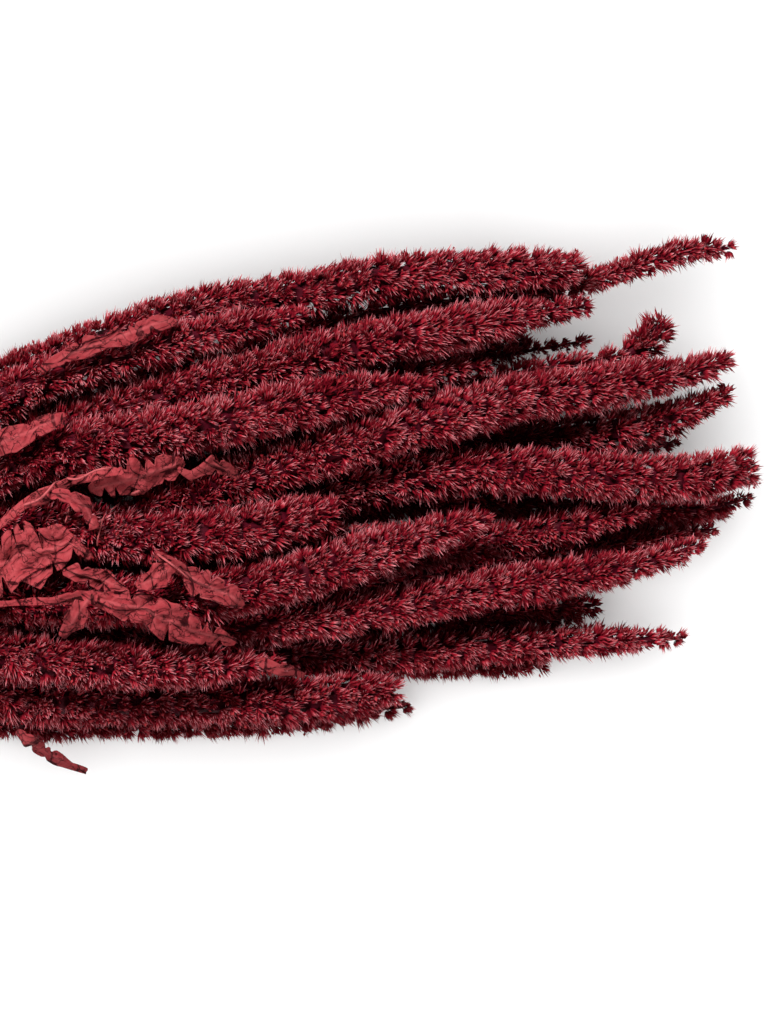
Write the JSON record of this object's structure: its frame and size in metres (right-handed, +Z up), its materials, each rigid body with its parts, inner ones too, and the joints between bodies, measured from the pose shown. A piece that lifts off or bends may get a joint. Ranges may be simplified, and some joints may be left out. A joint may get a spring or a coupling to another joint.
{
  "type": "amaranth seed head",
  "caption": "Cut and dried amaranth seed head lying on its side: a furrowed stalk that carries long bristly flower spikes, with crumpled leaves caught among them.",
  "frame": {"origin": "middle of the footprint, on the surface that the head lies on", "axes": "+X along the head from the stalk's cut end to the spikes' tips, +Y across it, +Z up"},
  "size_m": [0.4976, 0.1972, 0.0862],
  "materials": {
    "stalk": "dried and dyed stem, dull, furrowed lengthwise, with a pale pith at the cut",
    "flower_spike": "dense dry bristles, dark crimson at their feet and pinkish at their tips",
    "leaf": "dry crumpled leaf, matt, veined, lighter than the spikes"
  },
  "bodies": {
    "root": {"leaf_01": "leaf", "leaf_02": "leaf", "leaf_03": "leaf", "leaf_04": "leaf", "leaf_05": "leaf", "leaf_06": "leaf", "leaf_07": "leaf", "leaf_08": "leaf", "leaf_09": "leaf", "leaf_10": "leaf", "leaf_11": "leaf", "leaf_12": "leaf", "leaf_13": "leaf", "leaf_14": "leaf", "leaf_15": "leaf", "leaf_16": "leaf", "leaf_17": "leaf", "spike_01": "flower_spike", "spike_02": "flower_spike", "spike_03": "flower_spike", "spike_04": "flower_spike", "spike_05": "flower_spike", "spike_06": "flower_spike", "spike_07": "flower_spike", "spike_08": "flower_spike", "spike_09": "flower_spike", "spike_10": "flower_spike", "spike_11": "flower_spike", "spike_12": "flower_spike", "spike_13": "flower_spike", "spike_14": "flower_spike", "spike_15": "flower_spike", "spike_16": "flower_spike", "spike_17": "flower_spike", "spike_18": "flower_spike", "spike_19": "flower_spike", "spike_20": "flower_spike", "spike_21": "flower_spike", "spike_22": "flower_spike", "spike_23": "flower_spike", "spike_24": "flower_spike", "spike_25": "flower_spike", "spike_26": "flower_spike", "spike_27": "flower_spike", "spike_28": "flower_spike", "stalk": "stalk"}
  },
  "joints": []
}
